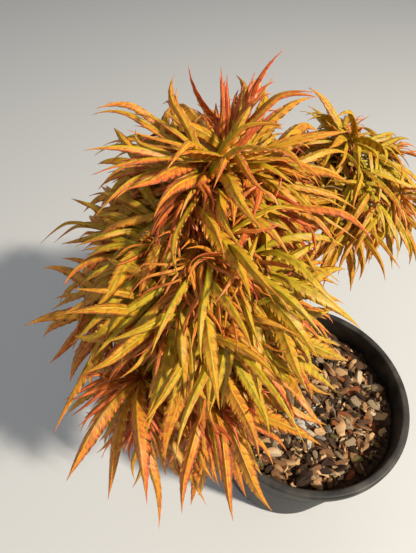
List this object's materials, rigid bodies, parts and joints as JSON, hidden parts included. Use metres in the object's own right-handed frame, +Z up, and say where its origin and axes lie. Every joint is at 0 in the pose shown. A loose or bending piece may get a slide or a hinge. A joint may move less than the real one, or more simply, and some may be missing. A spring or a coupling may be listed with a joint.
{
  "type": "potted japanese maple",
  "caption": "Dwarf japanese maple in a round nursery pot: leaning trunk, forking boughs and tufts of narrow orange and yellow-green leaves over bark mulch.",
  "frame": {"origin": "middle of the pot's flat underside, on the surface that it stands on", "axes": "+Z up; +X to the right and -Y to the front of the picture's view, so the crown leans to -X and the side crown stands at +X, +Y"},
  "size_m": [0.2973, 0.2802, 0.4031],
  "materials": {
    "pot_plastic": "black moulded polypropylene, satin, dusty at the rim",
    "bark_mulch": "loose chips of dry bark, tan to dark brown, matt",
    "bark": "thin young bark, grey-brown, slightly fissured, redder on the boughs",
    "leaves": "thin satin leaves, yellow-green at the base and rib, orange to coral at the tips"
  },
  "bodies": {
    "root": {"pot": "pot_plastic", "bark_mulch": "bark_mulch", "trunk": "bark", "bough_leader": "bark", "bough_side": "bark", "bough_front": "bark", "bough_right": "bark", "bough_rear": "bark", "bough_left": "bark", "bough_foot_front": "bark", "bough_foot_right": "bark", "bough_foot_rear": "bark", "bough_foot_left": "bark", "bough_side_rear": "bark", "foliage_crown_top": "leaves", "foliage_front": "leaves", "foliage_right": "leaves", "foliage_rear": "leaves", "foliage_left": "leaves", "foliage_foot_front": "leaves", "foliage_foot_right": "leaves", "foliage_foot_rear": "leaves", "foliage_foot_left": "leaves", "foliage_side_front": "leaves", "foliage_side_rear": "leaves"}
  },
  "joints": []
}
